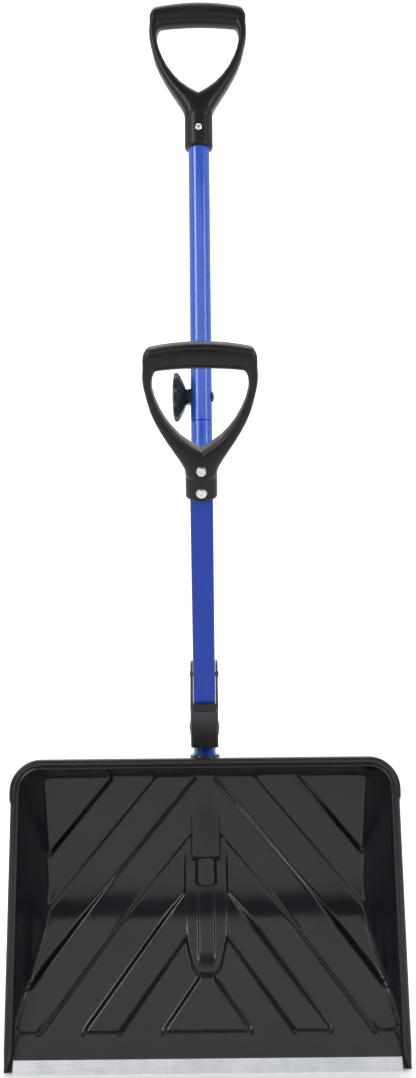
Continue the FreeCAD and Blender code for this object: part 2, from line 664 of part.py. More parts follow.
def make_bracket():
    """Folded plate: a front panel parallel to the arm and two cheeks that hold the shaft."""
    half = dim("bracket_width") / 2
    gauge = dim("bracket_gauge")
    low = arm_point(0, -PANEL_OUT, -22.0)
    high = arm_point(0, -PANEL_OUT, 27.0)
    back = SHAFT_Y + 12.0
    top = 453.0
    cheek = [(low.y, low.z), (high.y, high.z), (high.y + 4.5, high.z + 3.0), (66.0, top - 3.0),
             (72.0, top), (back - 5.0, top), (back, top - 5.0), (back, low.z + 6.0), (back - 6.0, low.z)]
    outer = prism([(-half, y, z) for y, z in cheek], V(2 * half, 0, 0))

    def is_front_bend(edge):
        middle = (edge.BoundBox.YMin + edge.BoundBox.YMax) / 2
        corner_x = abs(abs(edge.CenterOfMass.x) - half) < 0.01 and edge.BoundBox.XLength < 0.01
        return corner_x and middle < low.y and edge.Length > 40 and edge.BoundBox.ZMax < high.z + 1

    outer = filleted(outer, 4.0, is_front_bend)
    inside_low = arm_point(0, -PANEL_IN, -60.0)
    inside_high = arm_point(0, -PANEL_IN, 140.0)
    inner_x = -half + gauge
    inside = prism([(inner_x, inside_low.y, inside_low.z), (inner_x, inside_high.y, inside_high.z),
                    (inner_x, 140.0, inside_high.z), (inner_x, 140.0, inside_low.z)],
                   V(-2 * inner_x, 0, 0))
    pin_hole = Part.makeCylinder(dim("pivot_pin_radius"), 60, PIVOT - V(30, 0, 0), V(1, 0, 0))
    bracket = outer.cut(inside).cut(pin_hole)
    for height in BRACKET_RIVET_HEIGHTS:
        hole = Part.makeCylinder(dim("rivet_radius"), 60, V(-30, SHAFT_Y, height), V(1, 0, 0))
        bracket = bracket.cut(hole)
    return bracket


pivot_bracket = feature("pivot_bracket", make_bracket())


def cross_pin(label, shank, head, height, place):
    """A pin across the bracket with a low domed head at each end, turned about local Z."""
    return turned_body(label, [
        ("0", f"-bracket_width / 2 - {height}"), (f"{head} * 0.6", f"-bracket_width / 2 - {height}"),
        (head, "-bracket_width / 2 - 0.3"), (head, "-bracket_width / 2"),
        (shank, "-bracket_width / 2"), (shank, "bracket_width / 2"),
        (head, "bracket_width / 2"), (head, "bracket_width / 2 + 0.3"),
        (f"{head} * 0.6", f"bracket_width / 2 + {height}"), ("0", f"bracket_width / 2 + {height}"),
    ], place)


pivot_pin = cross_pin("pivot_pin", "pivot_pin_radius", "6.2", "1.4", pointing(*PIVOT, V(1, 0, 0)))
bracket_rivets = compound("bracket_rivets", [
    cross_pin(f"bracket_rivet_{index}", "rivet_radius", "4.4", "1.2",
              pointing(0, SHAFT_Y, height, V(1, 0, 0)))
    for index, height in enumerate(BRACKET_RIVET_HEIGHTS)])

# rubber stop inside the panel's top edge, with a lip over the edge
STOP_CLEARANCE = 0.1


def make_stop():
    face = -dim("arm_thickness") / 2 - STOP_CLEARANCE
    section = [(face, 13.0), (face, 35.5), (face - 1.0, 36.5), (-PANEL_OUT + 0.8, 36.5),
               (-PANEL_OUT, 35.7), (-PANEL_OUT, 27.6), (-PANEL_IN, 27.6), (-PANEL_IN, 13.0)]
    half = dim("bracket_width") / 2 - dim("bracket_gauge") - 0.3
    return prism([(-half, y, z) for y, z in section], V(2 * half, 0, 0))


arm_stop = feature("arm_stop", make_stop(), ARM_PLACE)

# --------------------------------------------------------------------------- torsion spring

WIRE_RADIUS = 1.25
COIL_RADIUS = 6.9
COIL_PITCH = 2.56
COIL_TURNS = 5
FRONT_LEG_TOE_IN = 12.0     # the front leg leans this far into the arm
BACK_LEG_ANGLE = 13.8       # the back leg leans this far towards the shaft
FRONT_LEG = 34.0
BACK_LEG = 30.0


def make_spring():
    """Coil about local Z with a leg along each end's tangent; local X, Y are the frame's Y, Z."""
    start = 180.0 + (ARM_ANGLE - FRONT_LEG_TOE_IN)
    end = 360.0 - BACK_LEG_ANGLE
    sweep = end - start + 360.0 * COIL_TURNS
    height = COIL_PITCH * sweep / 360.0
    climb = COIL_PITCH / (2 * math.pi * COIL_RADIUS)
    helix = Part.makeHelix(COIL_PITCH, height, COIL_RADIUS)
    section = Part.Wire([Part.makeCircle(WIRE_RADIUS, V(COIL_RADIUS, 0, 0), V(0, 1, climb))])
    coil = Part.Wire(helix).makePipeShell([section], True, True)
    coil.rotate(V(0, 0, 0), V(0, 0, 1), start)
    coil.translate(V(0, 0, -height / 2))
    legs = []
    for angle, z, sign, length in ((start, -height / 2, -1, FRONT_LEG),
                                   (end, height / 2, 1, BACK_LEG)):
        turn = math.radians(angle)
        foot = V(COIL_RADIUS * math.cos(turn), COIL_RADIUS * math.sin(turn), z)
        along = V(-math.sin(turn), math.cos(turn), climb) * sign
        legs.append(Part.makeCylinder(WIRE_RADIUS, length, foot, along))
    return coil.fuse(legs).removeSplitter()


# local Z of the coil lies along the frame's X, local X along Y and local Y along Z
COIL_TO_FRAME = FreeCAD.Rotation(FreeCAD.Matrix(0, 0, 1, 0, 1, 0, 0, 0, 0, 1, 0, 0, 0, 0, 0, 1))
torsion_spring = feature("torsion_spring", make_spring(), FreeCAD.Placement(PIVOT, COIL_TO_FRAME))

spring_sleeve = turned_body("spring_sleeve", [
    ("pivot_pin_radius + 0.05", "-8.3"), ("5.3", "-8.3"),
    ("5.3", "8.3"), ("pivot_pin_radius + 0.05", "8.3"),
], pointing(*PIVOT, V(1, 0, 0)))

# --------------------------------------------------------------------------- assist arm

EAR_RADIUS = 7.5


def make_arm():
    """Rectangular tube whose lower end is a fork of two round ears, about the pivot."""
    width, thick = dim("arm_width"), dim("arm_thickness")
    wall, length = dim("arm_wall"), dim("arm_length")
    outer = Part.makeBox(width, thick, length, V(-width / 2, -thick / 2, 0))

    def runs_along(edge):
        return edge.BoundBox.ZLength > length - 1

    outer = filleted(outer, 2.6, runs_along)
    core = Part.makeBox(width - 2 * wall, thick - 2 * wall, length + 2,
                        V(-width / 2 + wall, -thick / 2 + wall, -1))
    tube = outer.cut(filleted(core, 1.2, lambda edge: edge.BoundBox.ZLength > length))
    fork = Part.makeBox(width - 2 * wall, 2 * thick, dim("arm_fork") + 20,
                        V(-width / 2 + wall, -thick, -20))
    tube = tube.cut(fork)
    ears = Part.makeCylinder(EAR_RADIUS, width, V(-width / 2, 0, 0), V(1, 0, 0)).cut(fork)
    tube = tube.fuse(ears)
    hole = Part.makeCylinder(BUSHING_RADIUS, width + 4, V(-width / 2 - 2, 0, 0), V(1, 0, 0))
    return tube.cut(hole)


BUSHING_RADIUS = 5.4
BUSHING_OUT = str(BUSHING_RADIUS)
SCREW_RISES = (9.4, 34.0)      # grip screws above the socket end of the assist grip
GRIP_FOOT = dim("assist_grip_foot")

arm_tube = feature("arm_tube", make_arm())
arm_holes = [cylinder(f"arm_screw_hole_{index}", V(0, -20, GRIP_FOOT + rise), V(0, 1, 0), "2.6", "40")
             for index, rise in enumerate(SCREW_RISES)]
assist_arm = cut("assist_arm", arm_tube, arm_holes)
assist_arm.Placement = ARM_PLACE


def bushing(side):
    """Flanged nylon bushing in one ear; its flange keeps the arm off the cheek."""
    ear = "arm_width / 2 - arm_wall"
    return turned_body(f"pivot_bushing_{'left' if side < 0 else 'right'}", [
        ("pivot_pin_radius + 0.06", ear), (BUSHING_OUT, ear), (BUSHING_OUT, "arm_width / 2"),
        ("7.3", "arm_width / 2"), ("7.3", "arm_width / 2 + 1.15"),
        ("pivot_pin_radius + 0.06", "arm_width / 2 + 1.15"),
    ], pointing(*PIVOT, V(side, 0, 0)))


pivot_bushings = compound("pivot_bushings", [bushing(-1), bushing(1)])

NUT_RADIUS = 4.6            # across the corners, halved


def hexagon(radius):
    angles = [math.radians(60 * corner) for corner in range(6)]
    return [(radius * math.cos(angle), radius * math.sin(angle)) for angle in angles]


arm_bore = Part.makeBox(dim("arm_width"), dim("arm_thickness"), dim("arm_length") - GRIP_FOOT,
                        V(-dim("arm_width") / 2, -dim("arm_thickness") / 2, 0))
arm_bore = filleted(arm_bore, 2.6, lambda edge: edge.BoundBox.ZLength > 30)
for screw_rise in SCREW_RISES:
    arm_bore = arm_bore.fuse(Part.makeCylinder(2.6, 60, V(0, -30, screw_rise), V(0, 1, 0)))
    arm_bore = arm_bore.fuse(Part.makeCylinder(6.2, 10, V(0, -27.2, screw_rise), V(0, 1, 0)))
    nut_pocket = prism([(x, 14.0, screw_rise + z) for x, z in hexagon(NUT_RADIUS + 0.1)], V(0, 20, 0))
    arm_bore = arm_bore.fuse(nut_pocket)
assist_grip_place = ARM_PLACE.multiply(at(0, 0, GRIP_FOOT))
assist_grip_shape = make_grip(arm_bore, dim("assist_grip_width"), dim("assist_grip_stretch"),
                              dim("assist_grip_drop"))
assist_grip = feature("assist_grip", assist_grip_shape, assist_grip_place)


def on_grip(rise, depth, axis):
    """A placement in the assist grip's frame, at a height and a depth, local Z along axis."""
    return assist_grip_place.multiply(pointing(0, depth, rise, axis))


def make_screw():
    """Pan head machine screw about local Z, head up at the origin, with a cross recess."""
    head = Part.makeCone(5.9, 4.4, 2.6, V(0, 0, 0))
    shank = Part.makeCylinder(2.5, 35.0, V(0, 0, -35.0))
    screw = filleted(head, 0.9, lambda edge: edge.BoundBox.ZMin > 2.5).fuse(shank)
    for turn in (0, 90):
        slot = Part.makeBox(5.2, 1.2, 2.0, V(-2.6, -0.6, 1.2))
        slot.rotate(V(0, 0, 0), V(0, 0, 1), 45 + turn)
        screw = screw.cut(slot)
    return screw


def make_nut():
    """Hexagon nut about local Z on the screw's shank."""
    nut = prism([(x, y, 0) for x, y in hexagon(NUT_RADIUS)], V(0, 0, 3.2))
    return nut.cut(Part.makeCylinder(2.5, 6, V(0, 0, -1)))


assist_grip_screws = compound("assist_grip_screws", [
    feature(f"grip_screw_{index}", make_screw(), on_grip(rise, -17.2, V(0, -1, 0)))
    for index, rise in enumerate(SCREW_RISES)])
assist_grip_nuts = compound("assist_grip_nuts", [
    feature(f"grip_nut_{index}", make_nut(), on_grip(rise, 14.0, V(0, 1, 0)))
    for index, rise in enumerate(SCREW_RISES)])

# --------------------------------------------------------------------------- check and write

NODES = [
    blade, wear_strip, strip_rivets, blade_screws, lower_shaft, upper_shaft, clamp_bolt, clamp_saddle,
    clamp_knob, knob_insert, upper_grip, upper_grip_rivet, pivot_bracket, bracket_rivets, pivot_pin,
    arm_stop, torsion_spring, spring_sleeve, assist_arm, pivot_bushings, assist_grip,
    assist_grip_screws, assist_grip_nuts,
]

doc.recompute()
for thing in doc.Objects:
    if "Invalid" in thing.State or "Error" in thing.State:
        raise RuntimeError(f"{thing.Label} failed: {thing.State}")
for node in NODES:
    if node.Shape.isNull() or not node.Shape.isValid() or not node.Shape.Solids:
        raise RuntimeError(f"{node.Label} has no valid solid")

os.makedirs("parts", exist_ok=True)
for node in NODES:
    node.Shape.exportStep(f"parts/{node.Label}.step")
    box = node.Shape.BoundBox
    volume = node.Shape.Volume / 1000
    print(f"{node.Label:22s} solids {len(node.Shape.Solids):2d}  volume {volume:9.2f} cm3  "
          f"x {box.XMin:7.1f} {box.XMax:7.1f}  y {box.YMin:7.1f} {box.YMax:7.1f}  "
          f"z {box.ZMin:7.1f} {box.ZMax:7.1f}")
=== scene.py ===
import json
import math

import bpy
import numpy as np
from mathutils import Matrix, Vector


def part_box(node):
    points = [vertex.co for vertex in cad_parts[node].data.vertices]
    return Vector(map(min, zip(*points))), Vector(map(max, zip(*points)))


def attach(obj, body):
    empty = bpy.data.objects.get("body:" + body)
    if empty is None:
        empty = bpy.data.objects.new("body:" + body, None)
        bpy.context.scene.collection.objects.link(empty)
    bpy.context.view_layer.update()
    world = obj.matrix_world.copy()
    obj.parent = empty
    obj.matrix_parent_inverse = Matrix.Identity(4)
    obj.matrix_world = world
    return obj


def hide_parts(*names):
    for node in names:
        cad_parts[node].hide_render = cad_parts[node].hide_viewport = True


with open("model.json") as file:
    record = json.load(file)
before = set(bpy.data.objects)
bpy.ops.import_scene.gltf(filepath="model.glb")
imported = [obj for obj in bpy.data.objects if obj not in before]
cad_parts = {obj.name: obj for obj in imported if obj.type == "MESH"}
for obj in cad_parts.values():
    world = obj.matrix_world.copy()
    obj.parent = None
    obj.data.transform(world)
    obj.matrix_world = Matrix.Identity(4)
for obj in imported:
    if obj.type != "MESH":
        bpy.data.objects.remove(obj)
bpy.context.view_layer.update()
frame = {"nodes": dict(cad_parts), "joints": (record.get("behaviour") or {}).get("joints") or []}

# Looks of the two-handled snow shovel. Metres, in the CAD frame: +Z up the shaft, -Y towards the
# open side of the blade, the origin in the middle of the cutting edge.

MM = 0.001
SCENE = bpy.context.scene

# --------------------------------------------------------------------------- places from the frame

SHAFT_LOW, SHAFT_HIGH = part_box("upper_shaft")
SHAFT_Y = (SHAFT_LOW.y + SHAFT_HIGH.y) / 2
GRIP_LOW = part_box("upper_grip")[0]
KNOB_LOW, KNOB_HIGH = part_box("clamp_knob")
JOINTS = {joint["name"]: Vector(joint["pos_m"]) for joint in frame["joints"]}
PIVOT = JOINTS["assist_hinge"]
CLAMP_HEIGHT = JOINTS["knob_turn"].z

# --------------------------------------------------------------------------- mesh helpers


def mesh_object(name, points, faces, material, smooth_angle=None):
    """A mesh object from points and faces, shaded smooth, sharp above an angle in degrees."""
    mesh = bpy.data.meshes.new(name)
    mesh.from_pydata([tuple(point) for point in points], [], [tuple(face) for face in faces])
    mesh.validate()
    mesh.update()
    piece = bpy.data.objects.new(name, mesh)
    SCENE.collection.objects.link(piece)
    mesh.materials.append(material)
    mesh.shade_smooth()
    if smooth_angle is not None:
        mesh.set_sharp_from_angle(angle=math.radians(smooth_angle))
    return piece


def grid_faces(rows, columns, start=0, wrap=False, flip=False):
    """Quads of a grid of points stored row by row; wrap joins the last column to the first."""
    faces = []
    last = columns if wrap else columns - 1
    for row in range(rows - 1):
        for column in range(last):
            after = (column + 1) % columns
            quad = (start + row * columns + column, start + row * columns + after,
                    start + (row + 1) * columns + after, start + (row + 1) * columns + column)
            faces.append(quad[::-1] if flip else quad)
    return faces


def tube_mesh(rings, flip=False):
    """Points and faces of a tube through rings of equal length, capped at both ends."""
    count = len(rings[0])
    points = [point for ring in rings for point in ring]
    faces = grid_faces(len(rings), count, wrap=True, flip=flip)
    first = tuple(range(count))
    final = tuple(range(len(points) - count, len(points)))
    faces.append(first if flip else first[::-1])
    faces.append(final[::-1] if flip else final)
    return points, faces


def superellipse(count, power):
    """Unit points round a superellipse, power 2 for an ellipse and more for a squarer one."""
    points = []
    for index in range(count):
        angle = 2 * math.pi * index / count
        c, s = math.cos(angle), math.sin(angle)
        points.append((math.copysign(abs(c) ** (2 / power), c), math.copysign(abs(s) ** (2 / power), s)))
    return points


class Soup:
    """Collects the points and faces of several closed shells that make one piece."""

    def __init__(self):
        self.points = []
        self.faces = []

    def add(self, points, faces):
        start = len(self.points)
        self.points.extend(points)
        self.faces.extend(tuple(index + start for index in face) for face in faces)

    def tube(self, rings, flip=False):
        points, faces = tube_mesh(rings, flip=flip)
        self.add(points, faces)


def apply_modifiers(piece):
    """Bake a piece's modifiers into its mesh."""
    depsgraph = bpy.context.evaluated_depsgraph_get()
    baked = bpy.data.meshes.new_from_object(piece.evaluated_get(depsgraph))
    old = piece.data
    piece.modifiers.clear()
    piece.data = baked
    bpy.data.meshes.remove(old)
    return piece


def smoothstep(low, high, value):
    """0 below low, 1 above high, with flat ends."""
    share = np.clip((value - low) / (high - low), 0.0, 1.0)
    return share * share * share * (share * (share * 6 - 15) + 10)


def soft_min(a, b, width):
    """The smaller of two fields, rounded over a width where they cross."""
    gap = np.clip(0.5 + 0.5 * (b - a) / width, 0.0, 1.0)
    return b * (1 - gap) + a * gap - width * gap * (1 - gap)


def round_corner_min(a, b, reach):
    """The smaller of two fields, their contours joined by arcs inside reach."""
    across = np.maximum(reach - a, 0.0)
    along = np.maximum(reach - b, 0.0)
    return np.minimum(reach - np.hypot(across, along), np.minimum(np.maximum(a, reach), np.maximum(b, reach)))


# --------------------------------------------------------------------------- materials


def new_material(name, colour, roughness, metallic=0.0, coat=0.0, specular=0.5):
    """A Principled material; returns it with its nodes, links and shader."""
    material = bpy.data.materials.new(name)
    material.use_nodes = True
    nodes, links = material.node_tree.nodes, material.node_tree.links
    shader = nodes["Principled BSDF"]
    shader.inputs["Base Color"].default_value = (*colour, 1.0)
    shader.inputs["Roughness"].default_value = roughness
    shader.inputs["Metallic"].default_value = metallic
    shader.inputs["Coat Weight"].default_value = coat
    shader.inputs["Coat Roughness"].default_value = 0.08
    shader.inputs["Specular IOR Level"].default_value = specular
    return material, nodes, links, shader


def object_position(nodes, links, stretch=(1, 1, 1)):
    """Object coordinates through a mapping that stretches the pattern."""
    place = nodes.new("ShaderNodeTexCoord")
    mapping = nodes.new("ShaderNodeMapping")
    mapping.inputs["Scale"].default_value = stretch
    links.new(place.outputs["Object"], mapping.inputs["Vector"])
    return mapping.outputs["Vector"]


def noise(nodes, links, vector, scale, detail=3.0, rough=0.55):
    texture = nodes.new("ShaderNodeTexNoise")
    texture.inputs["Scale"].default_value = scale
    texture.inputs["Detail"].default_value = detail
    texture.inputs["Roughness"].default_value = rough
    links.new(vector, texture.inputs["Vector"])
    return texture.outputs["Fac"]


def ramp(nodes, links, source, low, high, low_at=0.35, high_at=0.65):
    """Map a factor to a range of colours or grey values."""
    stops = nodes.new("ShaderNodeValToRGB")
    stops.color_ramp.elements[0].position = low_at
    stops.color_ramp.elements[1].position = high_at
    stops.color_ramp.elements[0].color = (*low, 1.0)
    stops.color_ramp.elements[1].color = (*high, 1.0)
    links.new(source, stops.inputs["Fac"])
    return stops.outputs["Color"]


def grey(value):
    return (value, value, value)


def mixed(nodes, links, factor, first, second):
    """Blend of two colours by a number or by a texture."""
    mix = nodes.new("ShaderNodeMix")
    mix.data_type = "RGBA"
    if isinstance(factor, float):
        mix.inputs["Factor"].default_value = factor
    else:
        links.new(factor, mix.inputs["Factor"])
    links.new(first, mix.inputs["A"])
    links.new(second, mix.inputs["B"])
    return mix.outputs["Result"]


def bump(nodes, links, shader, height, strength, distance):
    """Add a layer of relief to a shader, on top of any that it has."""
    node = nodes.new("ShaderNodeBump")
    node.inputs["Strength"].default_value = strength
    node.inputs["Distance"].default_value = distance
    links.new(height, node.inputs["Height"])
    previous = shader.inputs["Normal"].links
    if previous:
        links.new(previous[0].from_socket, node.inputs["Normal"])
    links.new(node.outputs["Normal"], shader.inputs["Normal"])


def moulded_plastic(name, dark, light, rough_low, rough_high, grain, scuff, specular=0.5):
    """Moulded black plastic: spark grain, drifting sheen and fine handling scuffs."""
    material, nodes, links, shader = new_material(name, dark, rough_low, specular=specular)
    here = object_position(nodes, links)
    cloud = noise(nodes, links, here, 9.0, 4.0)
    base = ramp(nodes, links, cloud, dark, light, 0.3, 0.72)
    along = object_position(nodes, links, (14.0, 14.0, 1.2))
    scratch = noise(nodes, links, along, 22.0, 6.0, 0.7)
    worn = ramp(nodes, links, scratch, grey(0.0), grey(scuff), 0.60, 0.76)
    pale = nodes.new("ShaderNodeRGB")
    pale.outputs[0].default_value = (*[min(1.0, channel * 3.2 + 0.012) for channel in light], 1.0)
    links.new(mixed(nodes, links, worn, base, pale.outputs[0]), shader.inputs["Base Color"])
    sheen = noise(nodes, links, here, 26.0, 5.0)
    links.new(ramp(nodes, links, sheen, grey(rough_low), grey(rough_high), 0.3, 0.7),
              shader.inputs["Roughness"])
    bump(nodes, links, shader, noise(nodes, links, here, grain, 2.0), 0.22, 0.0003)
    bump(nodes, links, shader, noise(nodes, links, here, 60.0, 2.0), 0.10, 0.0006)
    return material


def powder_coat(name, dark, light, rough_low, rough_high, coat, specular=0.5):
    """Powder coat on steel: orange peel, faint colour drift and a few pale rub marks."""
    material, nodes, links, shader = new_material(name, dark, rough_low, coat=coat, specular=specular)
    here = object_position(nodes, links)
    base = ramp(nodes, links, noise(nodes, links, here, 14.0, 4.0), dark, light, 0.35, 0.68)
    rub = noise(nodes, links, object_position(nodes, links, (30.0, 30.0, 2.0)), 18.0, 6.0, 0.72)
    rubbed = ramp(nodes, links, rub, grey(0.0), grey(0.16), 0.66, 0.80)
    pale = nodes.new("ShaderNodeRGB")
    pale.outputs[0].default_value = (*[min(1.0, channel * 1.6 + 0.05) for channel in light], 1.0)
    links.new(mixed(nodes, links, rubbed, base, pale.outputs[0]), shader.inputs["Base Color"])
    links.new(ramp(nodes, links, noise(nodes, links, here, 40.0, 5.0), grey(rough_low), grey(rough_high)),
              shader.inputs["Roughness"])
    bump(nodes, links, shader, noise(nodes, links, here, 420.0, 2.0), 0.10, 0.0003)
    return material


def drawn_metal(name, dark, light, rough_low, rough_high, stretch, scale):
    """Bare or plated metal: marks drawn out along one direction, blotches and small dents."""
    material, nodes, links, shader = new_material(name, dark, rough_low, metallic=1.0)
    drawn = noise(nodes, links, object_position(nodes, links, stretch), scale, 6.0, 0.7)
    blotch = noise(nodes, links, object_position(nodes, links), 45.0, 4.0)
    base = ramp(nodes, links, drawn, dark, light, 0.3, 0.7)
    dull = ramp(nodes, links, blotch, dark, light, 0.35, 0.6)
    links.new(mixed(nodes, links, 0.35, base, dull), shader.inputs["Base Color"])
    links.new(ramp(nodes, links, drawn, grey(rough_low), grey(rough_high), 0.3, 0.75),
              shader.inputs["Roughness"])
    bump(nodes, links, shader, drawn, 0.18, 0.0002)
    return material


BLADE_PLASTIC = moulded_plastic("blade_plastic", (0.0065, 0.0063, 0.0095), (0.0095, 0.0092, 0.0135),
                                0.13, 0.20, 900.0, 0.10, 0.38)
GRIP_PLASTIC = moulded_plastic("grip_plastic", (0.0055, 0.0055, 0.006), (0.008, 0.008, 0.009),
                               0.28, 0.40, 1500.0, 0.10, 0.28)
SHAFT_PAINT = powder_coat("shaft_paint", (0.006, 0.072, 0.47), (0.009, 0.086, 0.53), 0.20, 0.30, 0.6)
ARM_PAINT = powder_coat("arm_paint", (0.010, 0.040, 0.31), (0.014, 0.048, 0.35), 0.34, 0.46, 0.05, 0.25)
BRACKET_PAINT = powder_coat("bracket_paint", (0.026, 0.026, 0.029), (0.036, 0.036, 0.040), 0.38, 0.52, 0.1)
BLACK_BOLT = powder_coat("black_hardware", (0.018, 0.018, 0.020), (0.030, 0.030, 0.033), 0.30, 0.42, 0.2)
STRIP_STEEL = drawn_metal("strip_steel", (0.50, 0.52, 0.54), (0.74, 0.76, 0.78), 0.24, 0.42,
                          (0.6, 20.0, 20.0), 30.0)
ZINC = drawn_metal("zinc_hardware", (0.55, 0.56, 0.57), (0.80, 0.81, 0.82), 0.20, 0.34, (8.0, 8.0, 8.0), 60.0)
SPRING_STEEL = drawn_metal("spring_steel", (0.16, 0.16, 0.17), (0.34, 0.34, 0.35), 0.26, 0.40,
                           (1.0, 9.0, 9.0), 70.0)
BRASS = drawn_metal("brass_insert", (0.55, 0.36, 0.12), (0.78, 0.58, 0.26), 0.24, 0.38, (6.0, 6.0, 6.0), 60.0)
STOP_RUBBER = moulded_plastic("stop_rubber", (0.008, 0.008, 0.008), (0.014, 0.014, 0.014),
                              0.6, 0.75, 700.0, 0.1)
NYLON = moulded_plastic("nylon", (0.50, 0.49, 0.45), (0.60, 0.59, 0.55), 0.35, 0.5, 900.0, 0.1)

NODE_MATERIALS = {
    "wear_strip": STRIP_STEEL, "wear_strip_rivets": ZINC, "blade_screws": ZINC,
    "lower_shaft": SHAFT_PAINT, "upper_shaft": SHAFT_PAINT, "clamp_bolt": BLACK_BOLT,
    "clamp_saddle": GRIP_PLASTIC, "knob_insert": BRASS, "upper_grip_rivet": ZINC,
    "pivot_bracket": BRACKET_PAINT, "bracket_rivets": BRACKET_PAINT, "pivot_pin": BRACKET_PAINT,
    "arm_stop": STOP_RUBBER, "torsion_spring": SPRING_STEEL, "spring_sleeve": NYLON,
    "assist_arm": ARM_PAINT, "pivot_bushings": NYLON, "assist_grip_screws": ZINC,
    "assist_grip_nuts": ZINC,
}
for node, material in NODE_MATERIALS.items():
    for material_slot in frame["nodes"][node].material_slots:
        material_slot.material = material

# --------------------------------------------------------------------------- blade

# lengths in this section are in millimetres
BLADE_HEIGHT = 343.0
RIM_SETBACK = 12.5
RIM_LEAN = RIM_SETBACK / BLADE_HEIGHT
MOUTH_HALF = 226.5
MOUTH_TOP = 345.4
SIDE_TAN = math.tan(math.radians(26.0))     # draft of the side walls
TOP_TAN = math.tan(math.radians(23.0))      # draft of the top wall
WALL_CORNER = 82.0                          # how far the walls' round corner reaches
WALL_BLEND = 9.0                            # rounding between floor and walls
RAMP = math.radians(27.0)
RAKE = math.radians(6.56)
FLOOR_RADIUS = 120.0
FLOOR_TOP_Y, FLOOR_TOP_Z = 68.5, 316.0
WALL = 3.0
BAND_RISE = 4.8
BAND_TAN = 1.2          # chevron lines: rise over run
CHEVRON_LINES = (448.0, 386.0, 327.0, 266.0, 207.0, 156.5, 98.5)
BAND_FOOT = 38.0
BAND_EDGE = 7.5         # width of a band's sloped edge, along z on the centre line
TONGUE = ((86.0, 0.0), (90.0, 10.0), (99.0, 17.5), (113.0, 21.5), (128.0, 25.2), (165.0, 27.0),
          (229.0, 26.0), (273.0, 22.5), (290.0, 19.0), (301.0, 12.0), (305.0, 0.0))
TONGUE_RISE = 6.0
TONGUE_TOP_RISE = 2.5
SOCKET_FRONT = 66.5     # depth of the socket's face where it shows through the floor
SOCKET_HALF = 17.6
SOCKET_STEP = 221.0     # the socket's face runs back into the floor below this height
KEEL_HALF = 9.5         # flat keel from the socket down to the tongue's tip
KEEL_RISE = 2.6
SOCKET_FOOT, SOCKET_TOP = 186.0, 339.0
SHAFT_AXIS = SHAFT_Y / MM


def floor_depth(z):
    """Depth of the plain floor: ramp, round bend, raked upper floor."""
    reach = FLOOR_TOP_Y + FLOOR_TOP_Z * math.tan(RAKE)
    knee_z = reach / (math.tan(RAMP) + math.tan(RAKE))
    tangent = FLOOR_RADIUS * math.tan((RAMP + RAKE) / 2)
    low_z = knee_z - tangent * math.cos(RAMP)
    high_z = knee_z + tangent * math.cos(RAKE)
    centre_y = low_z * math.tan(RAMP) - FLOOR_RADIUS * math.cos(RAMP)
    centre_z = low_z + FLOOR_RADIUS * math.sin(RAMP)
    bend = centre_y + np.sqrt(np.maximum(FLOOR_RADIUS ** 2 - (z - centre_z) ** 2, 0.0))
    upper = reach - z * math.tan(RAKE)
    return np.where(z < low_z, z * math.tan(RAMP), np.where(z > high_z, upper, bend))


def wall_depth(x, z):
    """Depth of the side and top walls, joined by a round corner."""
    side = (MOUTH_HALF - np.abs(x)) / SIDE_TAN
    top = (MOUTH_TOP - z) / TOP_TAN
    return round_corner_min(side, top, WALL_CORNER)


def band_height(x, z):
    """Height of the raised chevron bands above the floor."""
    along = z + BAND_TAN * np.abs(x)
    raised = np.zeros_like(z)
    half = BAND_EDGE / 2
    for upper, lower in ((0, 1), (2, 3), (4, 5)):
        rise = smoothstep(CHEVRON_LINES[lower] - half, CHEVRON_LINES[lower] + half, along)
        fall = smoothstep(CHEVRON_LINES[upper] - half, CHEVRON_LINES[upper] + half, along)
        raised = np.maximum(raised, rise * (1 - fall))
    centre = 1 - smoothstep(CHEVRON_LINES[6] - half, CHEVRON_LINES[6] + half, along)
    raised = np.maximum(raised, centre)
    return BAND_RISE * raised * smoothstep(BAND_FOOT - 3.0, BAND_FOOT + 3.0, z)


def tongue_height(x, z):
    """Height of the raised tongue round the socket, with the keel below it."""
    heights, halves = zip(*TONGUE)
    half = np.interp(z, heights, halves)
    inside = half - np.abs(x)
    rise = TONGUE_TOP_RISE + (TONGUE_RISE - TONGUE_TOP_RISE) * (1 - smoothstep(195.0, 240.0, z))
    plateau = rise * smoothstep(-2.0, 4.0, inside) * smoothstep(82.0, 94.0, z)
    keel = KEEL_RISE * (1 - smoothstep(KEEL_HALF - 2.5, KEEL_HALF + 2.5, np.abs(x)))
    keel = keel * smoothstep(92.0, 122.0, z) * (1 - smoothstep(SOCKET_STEP - 8, SOCKET_STEP, z))
    return plateau + keel


def socket_depth(x, z):
    """Depth of the socket's rounded face, which runs back into the floor at its foot."""
    share = np.abs(x) / SOCKET_HALF
    face = SOCKET_FRONT + 2.2 * share ** 2 + 24.0 * smoothstep(0.88, 1.14, share)
    return face + np.maximum(SOCKET_STEP - z, 0.0) * 0.85


def front_depth(x, z):
    """Depth of the blade's front surface."""
    raised = np.maximum(band_height(x, z), tongue_height(x, z))
    relief = soft_min(floor_depth(z) - raised, socket_depth(x, z), 2.2)
    return soft_min(relief, wall_depth(x, z), WALL_BLEND)


def blade_grid():
    """Columns and rows of the blade's surface grid, spaced so that the chevrons follow its diagonals."""
    step_x, step_z = 2.0, 2.4
    middle = np.concatenate([np.arange(-93, -19) * step_x, np.arange(-38, 39) * step_x / 2,
                             np.arange(20, 94) * step_x])
    edge = np.array([189.0, 192.0, 195.0, 198.0, 201.0, 204.0, 207.0, 210.0, 213.0, 216.0, 219.0])
    columns = np.concatenate([-edge[::-1], middle, edge])
    rows = np.concatenate([np.arange(0.0, 130.0) * step_z + 1.8, [314.0, 317.0, 320.0, 323.0, 326.0, 329.0,
                                                                332.0, 335.0]])
    return columns, rows


